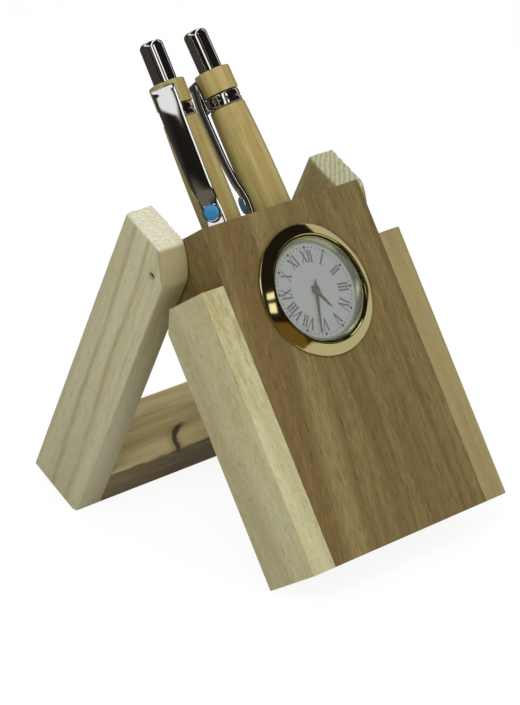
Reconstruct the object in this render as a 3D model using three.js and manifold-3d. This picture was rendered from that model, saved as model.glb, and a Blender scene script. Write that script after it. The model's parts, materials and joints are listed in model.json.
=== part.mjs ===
// Wooden A-frame pen stand with an insert clock and two click pens.
// Millimetres, +Z up, front facing -Y, origin on the floor under the middle of the stand's box.
import * as THREE from 'three';
import { mergeVertices } from 'three/addons/utils/BufferGeometryUtils.js';
import Module from 'manifold-3d';

const wasm = await Module();
wasm.setup();

// Driving dimensions of the leaning board
const boardLean = THREE.MathUtils.degToRad(30);
const blockWidth = 55;
const blockFloor = 8.4;
const blockThickness = 24;
const stripWidth = 7.5;
const stripThickness = 20;
const stripBelowPivot = 9.6;
const stripChamferBack = 4.5;
const stripChamferDown = 5.6;
const footCut = 0.8;

// Driving dimensions of the rear frame
const armLean = THREE.MathUtils.degToRad(30);
const armWidth = 20;
const armThickness = 8.5;
const armGap = 0.3;
const armRoundAcross = 6.5;
const armRoundAlong = 9;
const armRoundBulge = 0.9;
const armRoundSteps = 6;
const crossbarHeight = 13;

// Pivots of the rear frame: below the board's top, behind its face, and from the arm's top and back
const pivotBelowTop = 5.9;
const pivotDepth = 15.6;
const pivotFromArmTop = 9.2;
const pivotFromArmBack = 15;
const pinRadius = 0.75;
const pinHeadRadius = 0.85;
const pinHeadHeight = 0.7;
const pinHeadSunk = 1;
const pinIntoBlock = 10;
const pinArmClearance = 0.2;
const pinBlockClearance = 0.12;
const pinEndClearance = 0.4;
const pinTip = 0.7;

// Driving dimensions of the clock
const clockBelowTop = 24.4;
const dialTurn = THREE.MathUtils.degToRad(9);
const minuteHandTurn = THREE.MathUtils.degToRad(189);
const hourHandTurn = THREE.MathUtils.degToRad(141);
const bezelRadius = 18;
const bezelHeight = 2.2;
const bezelEdgeHeight = 0.6;
const bezelShoulderIn = 0.3;
const bezelShoulderDrop = 1.3;
const bezelCrestIn = 2.9;
const bezelSeatGap = 0.2;
const bezelStepWidth = 3.2;
const bezelStepDrop = 0.35;
const bezelStepEaseIn = 0.12;
const bezelStepEaseDrop = 0.03;
const bezelLipWidth = 0.7;
const bezelLipHeight = 1.8;
const bezelLipEase = 0.15;
const bezelOverhang = 1.4;
const collarWall = 1.7;
const collarDepth = 1.6;
const lensLedgeWidth = 0.6;
const lensThickness = 0.5;
const lensDome = 0.4;
const lensDomeSteps = 3;
const lensClearance = 0.2;
const lensHandGap = 0.17;
const windowSlope = 0.45;
const windowGap = 0.15;
const dialClearance = 0.5;
const dialThickness = 0.3;
const dialFace = -0.25;
const handThickness = 0.18;
const handGap = 0.14;
const hourHandHeight = 0.22;
const minuteHandEndGap = 1.2;
const minuteTailLength = 2.9;
const minuteHandWidth = 0.85;
const hourHandLength = 6.2;
const hourTailLength = 1.6;
const hourHandWidth = 1.0;
const handTipWidth = 0.25;
const handHubRadius = 1.25;
const handShoulder = 1.1;
const arborRadius = 0.35;
const arborCapRadius = 0.75;
const arborCapHeight = 0.16;
const arborCapEase = 0.22;
const pipeRadius = 0.8;
const pipeWall = 0.3;
const hubClearance = 0.1;
const collarStep = 0.4;
const housingWall = 0.8;
const housingGap = 0.3;
const gripRingWall = 0.75;
const gripRingSetback = 0.7;
const gripRingLength = 3.2;
const gripRingRibs = 3;
const gripRibDepth = 0.25;
const movementInset = 1.9;
const movementThickness = 2.7;
const batteryRadius = 3.95;
const batteryThickness = 2.1;
const batteryEdgeGap = 3.05;
const batteryCoverGap = 0.1;
const batteryCoverLip = 0.9;
const coinSlotWidth = 0.8;
const coinSlotLength = 5;
const coinSlotDepth = 0.35;
const knobRadius = 2.4;
const knobHeight = 1.1;
const knobCap = 0.5;
const knobFlutes = 12;
const knobFluteRadius = 0.35;
const knobStemRadius = 1;
const partGap = 0.3;
const pocketClearance = 0.25;
const pocketFloorGap = 0.6;

// Driving dimensions of the pens, measured along the pen from the block's top face
const penSpacing = 17.8;
const penDepth = 15;
const rightPenLean = THREE.MathUtils.degToRad(2.8);
const penLength = 136;
const boreClearance = 0.55;
const boreEndGap = 1.3;
const drillPointAngle = THREE.MathUtils.degToRad(59);
const barrelTopRadius = 4.95;
const barrelMiddleRadius = 5.45;
const barrelBottomRadius = 4.3;
const barrelSwellAt = 8;
const barrelBore = 3.3;
const barrelSteps = 7;
const clickerRadius = 3.25;
const clickerShowing = 11.8;
const clickerRound = 1;
const clickerRoundSteps = 3;
const clickerSkirt = 2.6;
const clickerInside = 8;
const upperRingRadius = 4.95;
const upperRingHeight = 6.7;
const neckRingRadius = 4.7;
const neckRingHeight = 3.8;
const ringEase = 0.35;
const sleeveWall = 0.7;
const sleeveLength = 18;
const rotorClearance = 0.2;
const rotorLength = 5;
const refillRadius = 1.55;
const refillNeckRadius = 1.1;
const refillTipRadius = 0.5;
const refillNeckLength = 18;
const refillTipLength = 3.6;
const refillConeLength = 0.8;
const refillRecess = 1;
const noseLength = 11;
const noseTipRadius = 1.3;
const noseLowerRadius = 1.9;
const noseLowerLength = 2.2;
const noseShoulderStep = 0.2;
const noseTenonLength = 5;
const noseWall = 0.7;
const springSeatUp = 6.5;
const clickTravel = 3.5;
const springTurns = 8;
const springWire = 0.35;
const springTurnSteps = 8;
const springSides = 5;
const slideClearance = 0.2;
const sleeveBelowClicker = 1;
const clipLength = 39.8;
const clipWidth = 5.6;
const clipSheet = 0.6;
const clipTopGap = 1.3;
const clipCrownOut = 1.5;
const clipCrownEase = 0.5;
const clipFootLow = 0.4;
const clipFootHigh = 1.2;
const clipStandoff = 1.9;
const clipBellyDown = 12;
const clipBellyLength = 8;
const clipPinch = 0.8;
const clipFlareLength = 8;
const clipTipFlare = 0.5;
const clipTipGap = 0.3;
const clipButtonUp = 4.2;
const clipButtonRadius = 2.5;
const clipButtonHeight = 0.6;
const clipButtonEase = 0.3;
const leftClipTurn = THREE.MathUtils.degToRad(50);
const rightClipTurn = THREE.MathUtils.degToRad(112);

// Facets of round pieces, how far a cutter runs past what it cuts, and how near vertices are joined
const fineFacets = 40;
const plainFacets = 24;
const smallFacets = 12;
const cutMargin = 1;
const weldDistance = 1e-4;

// Values worked out from the driving dimensions: the pens, whose clips and noses set the block's length
const clipTop = clipTipGap + clipLength;
const upperRingTop = clipTop + clipTopGap;
const penTop = upperRingTop + clickerShowing;
const noseTip = penTop - penLength;
const neckTop = upperRingTop - upperRingHeight;
const barrelTop = neckTop - neckRingHeight;
const barrelBottom = noseTip + noseLength;
const clickerLow = upperRingTop - clickerInside;
const rotorRadius = barrelBore - slideClearance - sleeveWall - rotorClearance;
const rotorLow = clickerLow - partGap - rotorLength;
const refillTop = rotorLow - partGap;
const refillTipLow = noseTip + refillRecess;
const refillNeckLow = refillTipLow + refillTipLength + refillConeLength;
const refillShoulder = refillNeckLow + refillNeckLength;
const springSeat = noseTip + springSeatUp;
const clipTipFace = barrelMiddleRadius + clipPinch + clipTipFlare;
const boreRadius = barrelMiddleRadius + boreClearance;
const boreDepth = boreEndGap - noseTip;

// The board and the rear frame
const blockLength = boreDepth + blockFloor;
const pivotUp = blockLength - pivotBelowTop;
const stripLength = pivotUp - stripBelowPivot;
const halfBlock = blockWidth / 2;
const boardFootHeight = blockThickness * Math.sin(boardLean) - footCut;
const armInnerFace = halfBlock + armGap;
const armOuterFace = armInnerFace + armThickness;
const armFront = armWidth - pivotFromArmBack;
const pivotHeight = boardFootHeight + pivotUp * Math.cos(boardLean) - pivotDepth * Math.sin(boardLean);
const armBottom = -(pivotHeight + footCut - armFront * Math.sin(armLean)) / Math.cos(armLean);

// The clock, from its bezel inwards and from its dial to its back
const clockUp = blockLength - clockBelowTop;
const bezelStepRadius = bezelRadius - bezelStepWidth;
const bezelInnerRadius = bezelStepRadius - bezelLipWidth;
const lensBore = bezelInnerRadius - bezelLipEase;
const lensLedge = lensBore - lensLedgeWidth;
const dialWindow = lensLedge - windowSlope;
const collarRadius = bezelRadius - bezelOverhang;
const collarInner = collarRadius - collarWall;
const dialRadius = collarInner - dialClearance;
const minuteHandLength = dialWindow - minuteHandEndGap;
const minuteHandHeight = hourHandHeight + handThickness + handGap;
const arborCapLow = dialFace + minuteHandHeight + handThickness + hubClearance / 2;
const lensLedgeHeight = arborCapLow + arborCapHeight + lensHandGap;
const lensBottom = lensLedgeHeight + lensClearance;
const lensTop = lensBottom + lensThickness;
const movementRadius = dialRadius - movementInset;
const movementFront = dialFace - dialThickness - partGap;
const movementBack = movementFront - movementThickness;
const housingRadius = collarRadius - collarStep;
const housingFront = -collarDepth - housingGap;
const housingBack = movementBack - partGap - batteryThickness - batteryCoverGap - housingWall;
const batteryDown = housingRadius - housingWall - batteryRadius - batteryEdgeGap;
const gripRingFront = housingFront - gripRingSetback;
const gripRingBack = gripRingFront - gripRingLength;
const knobBack = housingBack - partGap / 2;
const pocketRadius = housingRadius + gripRingWall + pocketClearance;
const pocketDepth = pocketFloorGap - housingBack;

const finishes = {
  darkWood: { color: 0x8a6d4a, roughness: 0.7, metalness: 0 },
  paleWood: { color: 0xd6c8a2, roughness: 0.75, metalness: 0 },
  tanWood: { color: 0xb39468, roughness: 0.75, metalness: 0 },
  bamboo: { color: 0xd0b06a, roughness: 0.5, metalness: 0 },
  gold: { color: 0xd8b85a, roughness: 0.2, metalness: 1 },
  brass: { color: 0xa88a4a, roughness: 0.35, metalness: 1 },
  chrome: { color: 0xd8dadc, roughness: 0.1, metalness: 1 },
  steel: { color: 0x9a9a9a, roughness: 0.35, metalness: 1 },
  glass: { color: 0xf4f8fa, roughness: 0.03, metalness: 0 },
  dialWhite: { color: 0xd8dcde, roughness: 0.5, metalness: 0 },
  enamel: { color: 0x3f8fc4, roughness: 0.2, metalness: 0 },
  blackPlastic: { color: 0x1c1c1e, roughness: 0.45, metalness: 0 },
  greyPlastic: { color: 0xb9bcc0, roughness: 0.5, metalness: 0 },
  rubber: { color: 0x262626, roughness: 0.9, metalness: 0 },
};

// Small tools for making closed solids

function toSolid(geometry) {
  const bare = geometry.clone();
  bare.deleteAttribute('normal');
  bare.deleteAttribute('uv');
  const merged = mergeVertices(bare, weldDistance);
  const vertProperties = new Float32Array(merged.attributes.position.array);
  const triVerts = new Uint32Array(merged.index.array);
  return new wasm.Manifold(new wasm.Mesh({ numProp: 3, vertProperties, triVerts }));
}

function toGeometry(solid) {
  const mesh = solid.getMesh();
  const geometry = new THREE.BufferGeometry();
  geometry.setAttribute('position', new THREE.BufferAttribute(mesh.vertProperties, 3));
  geometry.setIndex(new THREE.BufferAttribute(mesh.triVerts, 1));
  geometry.computeVertexNormals();
  return geometry;
}

function cut(geometry, cutters) {
  let solid = toSolid(geometry);
  for (const cutter of cutters) {
    solid = solid.subtract(toSolid(cutter));
  }
  return toGeometry(solid);
}

function piece(name, geometry, finish) {
  const mesh = new THREE.Mesh(geometry, new THREE.MeshStandardMaterial(finishes[finish]));
  mesh.name = name;
  return mesh;
}

function shapeFrom(points) {
  return new THREE.Shape(points.map(([x, y]) => new THREE.Vector2(x, y)));
}

// A plate with its outline in X and Y, from z = low to z = high.
function plate(shape, low, high, curveSegments = plainFacets) {
  const settings = { depth: high - low, bevelEnabled: false, curveSegments };
  const geometry = new THREE.ExtrudeGeometry(shape, settings);
  geometry.translate(0, 0, low);
  return geometry;
}

// A bar along X, from x = low to x = high, whose outline is given as [z, y] points.
function bar(outline, low, high) {
  const geometry = new THREE.ExtrudeGeometry(outline, { depth: high - low, bevelEnabled: false });
  geometry.rotateY(Math.PI / 2);
  geometry.translate(low, 0, 0);
  return geometry;
}

// The bar's outline lies in -Z and Y before it is turned, so its first coordinate is minus z.
function sideOutline(points) {
  return shapeFrom(points.map(([y, z]) => [-z, y]));
}

// A turned piece: [radius, height] pairs, from the axis to the axis or closed on itself, about Y.
function turned(profile, facets = plainFacets) {
  const points = profile.map(([radius, height]) => new THREE.Vector2(radius, height));
  return new THREE.LatheGeometry(points, facets);
}

// A ring's profile is closed by repeating its first point.
function turnedRing(profile, facets = plainFacets) {
  return turned([...profile, profile[0]], facets);
}

function turnedOnZ(geometry) {
  return geometry.rotateX(Math.PI / 2);
}

function tube(outer, inner, low, high, facets = plainFacets) {
  return turnedRing([[inner, low], [outer, low], [outer, high], [inner, high]], facets);
}

function rod(radius, low, high, facets = plainFacets) {
  return turned([[0, low], [radius, low], [radius, high], [0, high]], facets);
}

// The leaning board: its own Y runs up the board and its Z out of the front face.

function centreBlock() {
  const side = sideOutline([
    [0, 0],
    [blockLength, 0],
    [blockLength, -blockThickness],
    [footCut / Math.cos(boardLean), -blockThickness],
    [0, -blockThickness + footCut / Math.sin(boardLean)],
  ]);
  const pocket = turnedOnZ(rod(pocketRadius, -pocketDepth, cutMargin, fineFacets));
  pocket.translate(0, clockUp, 0);
  const cutters = [pocket];
  for (const pen of pens) {
    const bore = turned([
      [0, -boreDepth - boreRadius / Math.tan(drillPointAngle)],
      [boreRadius, -boreDepth],
      [boreRadius, cutMargin],
      [0, cutMargin],
    ]);
    bore.rotateZ(pen.lean).translate(pen.across, blockLength, -penDepth);
    cutters.push(bore);
  }
  for (const end of [-1, 1]) {
    const depth = pinIntoBlock + pinEndClearance;
    const hole = rod(pinRadius + pinBlockClearance, 0, depth + cutMargin, smallFacets);
    hole.rotateZ(end * Math.PI / 2).translate(end * (halfBlock + cutMargin), pivotUp, -pivotDepth);
    cutters.push(hole);
  }
  return piece('centre_block', cut(bar(side, -halfBlock, halfBlock), cutters), 'darkWood');
}

function sideStrip(name, end) {
  const side = sideOutline([
    [0, 0],
    [stripLength, 0],
    [stripLength, -stripThickness + stripChamferBack],
    [stripLength - stripChamferDown, -stripThickness],
    [0, -stripThickness],
  ]);
  const low = end < 0 ? -halfBlock - stripWidth : halfBlock;
  return piece(name, bar(side, low, low + stripWidth), 'paleWood');
}

function pivotPin(name, end) {
  const headTop = armOuterFace - pinHeadSunk;
  const pin = turned([
    [0, halfBlock - pinIntoBlock],
    [pinRadius, halfBlock - pinIntoBlock + pinTip],
    [pinRadius, headTop - pinHeadHeight],
    [pinHeadRadius, headTop - pinHeadHeight],
    [pinHeadRadius, headTop],
    [0, headTop],
  ], smallFacets);
  pin.rotateZ(-end * Math.PI / 2).translate(0, pivotUp, -pivotDepth);
  return piece(name, pin, 'steel');
}

// The rear frame: its own Y runs up the arm and its Z out of the arm's front edge, from the pivot.

function armBottomCut() {
  return [
    [armBottom + footCut / Math.cos(armLean), armFront],
    [armBottom, armFront - footCut / Math.sin(armLean)],
    [armBottom, -pivotFromArmBack],
  ];
}

function arm(name, end) {
  const top = [pivotFromArmTop, armFront - armRoundAcross];
  const front = [pivotFromArmTop - armRoundAlong, armFront];
  const chord = Math.hypot(armRoundAlong, armRoundAcross);
  const outline = [];
  for (let step = 0; step <= armRoundSteps; step += 1) {
    const share = step / armRoundSteps;
    const bulge = 4 * armRoundBulge * share * (1 - share);
    outline.push([
      top[0] + (front[0] - top[0]) * share + bulge * armRoundAcross / chord,
      top[1] + (front[1] - top[1]) * share + bulge * armRoundAlong / chord,
    ]);
  }
  const side = sideOutline([...outline, ...armBottomCut(), [pivotFromArmTop, -pivotFromArmBack]]);
  const low = end < 0 ? -armOuterFace : armInnerFace;
  const holeLow = armInnerFace - cutMargin;
  const holeHigh = armOuterFace + cutMargin;
  const hole = rod(pinHeadRadius + pinArmClearance, holeLow, holeHigh, smallFacets);
  hole.rotateZ(-end * Math.PI / 2);
  return piece(name, cut(bar(side, low, low + armThickness), [hole]), 'paleWood');
}

function crossbar() {
  const side = sideOutline([
    [armBottom + crossbarHeight, armFront],
    ...armBottomCut(),
    [armBottom + crossbarHeight, -pivotFromArmBack],
  ]);
  return piece('crossbar', bar(side, -armInnerFace, armInnerFace), 'tanWood');
}

// The clock: its own Z runs out of the board's face, and Y up the board, from the clock's centre.

function bezel() {
  const ring = turnedRing([
    [collarInner, -collarDepth],
    [collarRadius, -collarDepth],
    [collarRadius, bezelSeatGap],
    [bezelRadius, bezelSeatGap],
    [bezelRadius, bezelSeatGap + bezelEdgeHeight],
    [bezelRadius - bezelShoulderIn, bezelHeight - bezelShoulderDrop],
    [bezelRadius - bezelCrestIn, bezelHeight],
    [bezelStepRadius + bezelStepEaseIn, bezelHeight - bezelStepEaseDrop],
    [bezelStepRadius, bezelHeight - bezelStepDrop],
    [bezelInnerRadius, bezelLipHeight],
    [lensBore, bezelLipHeight - bezelLipEase],
    [lensBore, lensLedgeHeight],
    [lensLedge, lensLedgeHeight],
    [dialWindow, dialFace + windowGap],
    [collarInner, dialFace + windowGap],
  ], fineFacets);
  return piece('clock_bezel', turnedOnZ(ring), 'gold');
}

function lens() {
  const edge = lensBore - lensClearance;
  const profile = [[0, lensBottom], [edge, lensBottom], [edge, lensTop]];
  for (let step = lensDomeSteps; step >= 0; step -= 1) {
    const share = step / lensDomeSteps;
    profile.push([(edge - lensClearance) * share, lensTop + lensDome * (1 - share * share)]);
  }
  return piece('clock_lens', turnedOnZ(turned(profile, fineFacets)), 'glass');
}

function dial() {
  const hole = pipeRadius + hubClearance;
  const disc = tube(dialRadius, hole, dialFace - dialThickness, dialFace, fineFacets);
  const mesh = piece('clock_dial', turnedOnZ(disc), 'dialWhite');
  mesh.rotation.z = -dialTurn;
  return mesh;
}

function hand(name, length, tail, width, height, bore, turn) {
  const shape = shapeFrom([
    [-handTipWidth / 2, -tail],
    [handTipWidth / 2, -tail],
    [width / 2, -handShoulder],
    [width / 2, handShoulder],
    [handTipWidth / 2, length],
    [-handTipWidth / 2, length],
    [-width / 2, handShoulder],
    [-width / 2, -handShoulder],
  ]);
  const low = dialFace + height;
  const blade = toSolid(plate(shape, low, low + handThickness));
  const hub = toSolid(turnedOnZ(rod(handHubRadius, low, low + handThickness, smallFacets)));
  const hole = toSolid(turnedOnZ(rod(bore, low - cutMargin, low + cutMargin, smallFacets)));
  const mesh = piece(name, toGeometry(blade.add(hub).subtract(hole)), 'brass');
  mesh.rotation.z = -(dialTurn + turn);
  return mesh;
}

function hourPipe() {
  const front = dialFace + hourHandHeight + handThickness;
  const pipe = tube(pipeRadius, pipeRadius - pipeWall, movementBack - partGap, front, smallFacets);
  return piece('hour_pipe', turnedOnZ(pipe), 'brass');
}

function minuteArbor() {
  const shaft = turned([
    [0, knobBack + knobCap],
    [arborRadius, knobBack + knobCap],
    [arborRadius, arborCapLow],
    [arborCapRadius, arborCapLow],
    [arborCapRadius - arborCapEase, arborCapLow + arborCapHeight],
    [0, arborCapLow + arborCapHeight],
  ], smallFacets);
  return piece('minute_arbor', turnedOnZ(shaft), 'brass');
}

function movement() {
  const bore = pipeRadius + hubClearance;
  const body = tube(movementRadius, bore, movementBack, movementFront, fineFacets);
  return piece('clock_movement', turnedOnZ(body), 'greyPlastic');
}

function housing() {
  const floor = housingBack + housingWall;
  const cup = turned([
    [0, housingBack],
    [housingRadius, housingBack],
    [housingRadius, housingFront],
    [housingRadius - housingWall, housingFront],
    [housingRadius - housingWall, floor],
    [0, floor],
  ], fineFacets);
  const holeLow = housingBack - cutMargin;
  const holeHigh = floor + cutMargin;
  const knobHole = turnedOnZ(rod(knobRadius + partGap, holeLow, holeHigh));
  const coverHole = turnedOnZ(rod(batteryRadius + batteryCoverLip, holeLow, holeHigh));
  coverHole.translate(0, -batteryDown, 0);
  return piece('clock_housing', cut(turnedOnZ(cup), [knobHole, coverHole]), 'blackPlastic');
}

function gripRing() {
  const inner = housingRadius + slideClearance / 2;
  const outer = housingRadius + gripRingWall;
  const bands = gripRingRibs * 2 - 1;
  const bandWidth = (gripRingFront - gripRingBack) / bands;
  const profile = [[inner, gripRingBack]];
  for (let band = 0; band < bands; band += 1) {
    const radius = band % 2 ? outer - gripRibDepth : outer;
    const low = gripRingBack + bandWidth * band;
    profile.push([radius, low], [radius, low + bandWidth]);
  }
  profile.push([inner, gripRingFront]);
  return piece('clock_grip_ring', turnedOnZ(turnedRing(profile, fineFacets)), 'rubber');
}

function battery() {
  const front = movementBack - partGap;
  const cell = turnedOnZ(rod(batteryRadius, front - batteryThickness, front));
  return piece('clock_battery', cell.translate(0, -batteryDown, 0), 'steel');
}

function batteryCover() {
  const radius = batteryRadius + batteryCoverLip - slideClearance;
  const disc = turnedOnZ(rod(radius, housingBack, housingBack + housingWall));
  const slot = new THREE.BoxGeometry(coinSlotLength, coinSlotWidth, coinSlotDepth * 2);
  slot.translate(0, 0, housingBack);
  return piece('clock_battery_cover', cut(disc, [slot]).translate(0, -batteryDown, 0), 'blackPlastic');
}

function settingKnob() {
  const front = knobBack + knobHeight;
  const stem = rod(knobStemRadius, front - partGap, movementBack - partGap * 2, smallFacets);
  const socketLow = knobBack + knobCap - hubClearance;
  const socket = rod(arborRadius + hubClearance, socketLow, movementBack, smallFacets);
  let solid = toSolid(turnedOnZ(rod(knobRadius, knobBack, front)));
  solid = solid.add(toSolid(turnedOnZ(stem))).subtract(toSolid(turnedOnZ(socket)));
  for (let flute = 0; flute < knobFlutes; flute += 1) {
    const angle = flute * Math.PI * 2 / knobFlutes;
    const groove = turnedOnZ(rod(knobFluteRadius, knobBack - cutMargin, front + cutMargin, smallFacets));
    groove.translate(knobRadius * Math.cos(angle), knobRadius * Math.sin(angle), 0);
    solid = solid.subtract(toSolid(groove));
  }
  return piece('setting_knob', toGeometry(solid), 'blackPlastic');
}

function clock() {
  const group = new THREE.Group();
  group.add(bezel(), lens(), dial(), housing(), gripRing(), movement(), battery(), batteryCover());
  group.add(hand('hour_hand', hourHandLength, hourTailLength, hourHandWidth,
    hourHandHeight, pipeRadius + hubClearance / 2, hourHandTurn));
  group.add(hand('minute_hand', minuteHandLength, minuteTailLength, minuteHandWidth,
    minuteHandHeight, arborRadius + hubClearance / 2, minuteHandTurn));
  group.add(hourPipe(), minuteArbor(), settingKnob());
  group.position.set(0, clockUp, 0);
  return group;
}

// A click pen: its own Y runs up the pen, from the block's top face.

function barrelRadiusAt(height) {
  const above = height > barrelSwellAt;
  const end = above ? barrelTop : barrelBottom;
  const share = (height - barrelSwellAt) / (end - barrelSwellAt);
  const endRadius = above ? barrelTopRadius : barrelBottomRadius;
  return barrelMiddleRadius + (endRadius - barrelMiddleRadius) * share * share;
}

function barrel() {
  const profile = [[barrelBore, barrelBottom]];
  for (let step = 0; step <= barrelSteps; step += 1) {
    const height = barrelBottom + (barrelTop - barrelBottom) * step / barrelSteps;
    profile.push([barrelRadiusAt(height), height]);
  }
  profile.push([barrelBore, barrelTop]);
  return turnedRing(profile);
}

function easedRing(radius, bore, low, high) {
  return turnedRing([
    [bore, low],
    [radius - ringEase, low],
    [radius, low + ringEase],
    [radius, high - ringEase],
    [radius - ringEase, high],
    [bore, high],
  ]);
}

function clicker() {
  const skirtLow = upperRingTop - clickerSkirt;
  const profile = [
    [0, clickerLow],
    [rotorRadius, clickerLow],
    [rotorRadius, skirtLow - (clickerRadius - rotorRadius)],
    [clickerRadius, skirtLow],
  ];
  for (let step = 0; step <= clickerRoundSteps; step += 1) {
    const angle = step / clickerRoundSteps * Math.PI / 2;
    const radius = clickerRadius - clickerRound * (1 - Math.cos(angle));
    profile.push([radius, penTop - clickerRound * (1 - Math.sin(angle))]);
  }
  profile.push([0, penTop]);
  return turned(profile);
}

function camSleeve() {
  const high = upperRingTop - clickerSkirt - clickTravel - sleeveBelowClicker;
  const outer = barrelBore - slideClearance;
  return tube(outer, outer - sleeveWall, high - sleeveLength, high, smallFacets);
}

function camRotor() {
  return rod(rotorRadius, rotorLow, rotorLow + rotorLength, smallFacets);
}

function refill() {
  return turned([
    [0, refillTipLow],
    [refillTipRadius, refillTipLow],
    [refillTipRadius, refillTipLow + refillTipLength],
    [refillNeckRadius, refillNeckLow],
    [refillNeckRadius, refillShoulder],
    [refillRadius, refillShoulder],
    [refillRadius, refillTop],
    [0, refillTop],
  ], smallFacets);
}

// One unbroken wire that climbs from the nose cone to the refill's shoulder.
function spring() {
  const low = springSeat + springWire + partGap;
  const high = refillShoulder - springWire - partGap;
  const radius = refillNeckRadius + springWire + slideClearance;
  const steps = springTurns * springTurnSteps;
  const climb = (high - low) / steps;
  const pitch = Math.atan2(climb * springTurnSteps, 2 * Math.PI * radius);
  const positions = [];
  const index = [];
  for (let step = 0; step <= steps; step += 1) {
    const angle = step * 2 * Math.PI / springTurnSteps;
    const out = new THREE.Vector3(Math.cos(angle), 0, Math.sin(angle));
    const along = new THREE.Vector3(-Math.sin(angle), 0, Math.cos(angle)).multiplyScalar(Math.cos(pitch));
    along.y = Math.sin(pitch);
    const side = new THREE.Vector3().crossVectors(along, out);
    const centre = out.clone().multiplyScalar(radius);
    centre.y = low + climb * step;
    for (let corner = 0; corner < springSides; corner += 1) {
      const turn = corner * 2 * Math.PI / springSides;
      const point = centre.clone();
      point.addScaledVector(out, springWire * Math.cos(turn));
      point.addScaledVector(side, springWire * Math.sin(turn));
      positions.push(point.x, point.y, point.z);
    }
  }
  for (let step = 0; step < steps; step += 1) {
    for (let corner = 0; corner < springSides; corner += 1) {
      const next = (corner + 1) % springSides;
      const a = step * springSides + corner;
      const b = step * springSides + next;
      index.push(a, b, a + springSides, b, b + springSides, a + springSides);
    }
  }
  const last = steps * springSides;
  for (let corner = 1; corner < springSides - 1; corner += 1) {
    index.push(0, corner + 1, corner);
    index.push(last, last + corner, last + corner + 1);
  }
  const geometry = new THREE.BufferGeometry();
  geometry.setAttribute('position', new THREE.Float32BufferAttribute(positions, 3));
  geometry.setIndex(index);
  geometry.computeVertexNormals();
  return geometry;
}

function noseCone() {
  const tenon = barrelBore - slideClearance;
  const bore = refillNeckRadius + slideClearance;
  const tipBore = refillTipRadius + slideClearance;
  const tipBoreHigh = refillTipLow + refillTipLength - clickTravel;
  const tenonHigh = barrelBottom + noseTenonLength;
  return turnedRing([
    [tipBore, noseTip],
    [noseTipRadius, noseTip],
    [noseLowerRadius, noseTip + noseLowerLength],
    [barrelBottomRadius - noseShoulderStep, barrelBottom - partGap],
    [tenon, barrelBottom - partGap],
    [tenon, tenonHigh],
    [tenon - noseWall, tenonHigh],
    [tenon - noseWall, springSeat],
    [bore, springSeat],
    [bore, tipBoreHigh],
    [tipBore, tipBoreHigh],
  ]);
}

// The clip's side view, as [distance from the pen's axis, height] points. The outer face runs from
// the foot on the neck ring, over the crown and down to the tip, and the inner face runs back.
function clip(turn, tipHeight) {
  const foot = neckRingRadius + slideClearance;
  const crown = upperRingRadius + clipCrownOut;
  const crownInner = crown - clipCrownEase;
  const belly = upperRingRadius + clipStandoff + clipSheet;
  const bellyHigh = clipTop - clipBellyDown;
  const bellyLow = bellyHigh - clipBellyLength;
  const pinch = barrelMiddleRadius + clipPinch;
  const footLow = barrelTop + clipFootLow;
  const footHigh = barrelTop + clipFootHigh;
  const outer = [
    [foot, footHigh],
    [crownInner, footHigh],
    [crownInner, clipTop - clipCrownEase],
    [crown, clipTop],
    [crown + clipSheet, clipTop - clipCrownEase],
    [belly, bellyHigh],
    [belly, bellyLow],
    [pinch, tipHeight + clipFlareLength],
    [clipTipFace, tipHeight],
  ];
  const inner = [
    [clipTipFace - clipSheet, tipHeight],
    [pinch - clipSheet, tipHeight + clipFlareLength],
    [belly - clipSheet, bellyLow],
    [belly - clipSheet, bellyHigh],
    [crown, footLow],
    [foot, footLow],
  ];
  const geometry = plate(shapeFrom([...outer, ...inner].reverse()), -clipWidth / 2, clipWidth / 2);
  return geometry.rotateY(-Math.PI / 2).rotateY(-turn);
}

// The round button above the clip's tip.
function clipButton(turn, tipHeight) {
  const disc = turned([
    [0, 0],
    [clipButtonRadius, 0],
    [clipButtonRadius, clipButtonHeight - clipButtonEase],
    [clipButtonRadius - clipButtonEase, clipButtonHeight],
    [0, clipButtonHeight],
  ]);
  disc.rotateX(Math.PI / 2).translate(0, tipHeight + clipButtonUp, clipTipFace + slideClearance);
  return disc.rotateY(-turn);
}

function pen(side) {
  const group = new THREE.Group();
  const clipReach = clipTipFace + slideClearance + clipButtonHeight;
  const tipHeight = clipTipGap + clipReach * Math.tan(side.lean);
  const add = (name, geometry, finish) => {
    group.add(piece(`${side.name}_${name}`, geometry, finish));
  };
  add('barrel', barrel(), 'bamboo');
  add('upper_ring', easedRing(upperRingRadius, clickerRadius + slideClearance,
    neckTop + partGap / 2, upperRingTop), 'bamboo');
  add('neck_ring', easedRing(neckRingRadius, barrelBore, barrelTop + partGap / 2,
    neckTop - partGap / 2), 'chrome');
  add('clip', clip(side.clipTurn, tipHeight), 'chrome');
  add('clip_button', clipButton(side.clipTurn, tipHeight), 'enamel');
  add('clicker', clicker(), 'chrome');
  add('cam_sleeve', camSleeve(), 'blackPlastic');
  add('cam_rotor', camRotor(), 'greyPlastic');
  add('refill', refill(), 'steel');
  add('spring', spring(), 'steel');
  add('nose_cone', noseCone(), 'chrome');
  group.position.set(side.across, blockLength, -penDepth);
  group.rotation.z = side.lean;
  return group;
}

const pens = [
  { name: 'left_pen', across: -penSpacing / 2, lean: 0, clipTurn: leftClipTurn },
  { name: 'right_pen', across: penSpacing / 2, lean: rightPenLean, clipTurn: rightClipTurn },
];

// Front and back of the whole stand, to centre its box on the origin
const armFootBack = -armBottom * Math.sin(armLean) + pivotFromArmBack * Math.cos(armLean);
const pivotBehindFoot = pivotUp * Math.sin(boardLean) + pivotDepth * Math.cos(boardLean);
const standDepth = pivotBehindFoot + armFootBack;

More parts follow.
